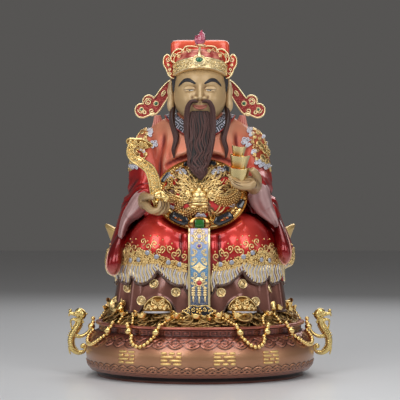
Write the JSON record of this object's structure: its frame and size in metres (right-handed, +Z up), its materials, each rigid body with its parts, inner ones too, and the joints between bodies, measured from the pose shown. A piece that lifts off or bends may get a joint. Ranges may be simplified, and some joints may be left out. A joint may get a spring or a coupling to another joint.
{
  "type": "caishen figure",
  "caption": "Seated fortune deity in an enamelled court robe with sceptre and gold ingots, on an ingot seat above a coin-filled basin with dragon handles.",
  "frame": {"origin": "centre of the basin's flat underside", "axes": "+Z up, -Y the way the figure faces, +X to the figure's left, the viewer's right"},
  "size_m": [0.3114, 0.268, 0.4002],
  "materials": {
    "copper_lacquer": "glossy copper lacquer, darker in the relief",
    "antique_gold": "antiqued gold with dark hollows",
    "pale_gold": "satin gold paint",
    "red_enamel": "high-gloss red lacquer over cast resin",
    "cap_enamel": "glossy red lacquer with gold edges",
    "rose_jewel": "clear rose lacquer, polished",
    "bright_gold": "polished gold plate"
  },
  "bodies": {
    "root": {"treasure_basin": "copper_lacquer", "coin_heap": "antique_gold", "ingot_seat": "pale_gold", "robed_figure": "red_enamel", "official_cap": "cap_enamel", "cap_flame_jewel": "rose_jewel", "cap_wing_right": "cap_enamel", "cap_wing_left": "cap_enamel", "ruyi_sceptre": "bright_gold", "ingot_stack": "bright_gold", "dragon_handle_right": "bright_gold", "dragon_handle_left": "bright_gold", "bead_swag_left_1": "bright_gold", "bead_swag_right_1": "bright_gold", "bead_swag_left_2": "bright_gold", "bead_swag_right_2": "bright_gold", "heap_ingot_1": "bright_gold", "heap_ingot_2": "bright_gold", "heap_ingot_3": "bright_gold", "heap_ingot_4": "bright_gold", "heap_ingot_5": "bright_gold", "heap_ingot_6": "bright_gold", "heap_ingot_7": "bright_gold", "heap_ingot_8": "bright_gold", "heap_ingot_9": "bright_gold"}
  },
  "joints": []
}
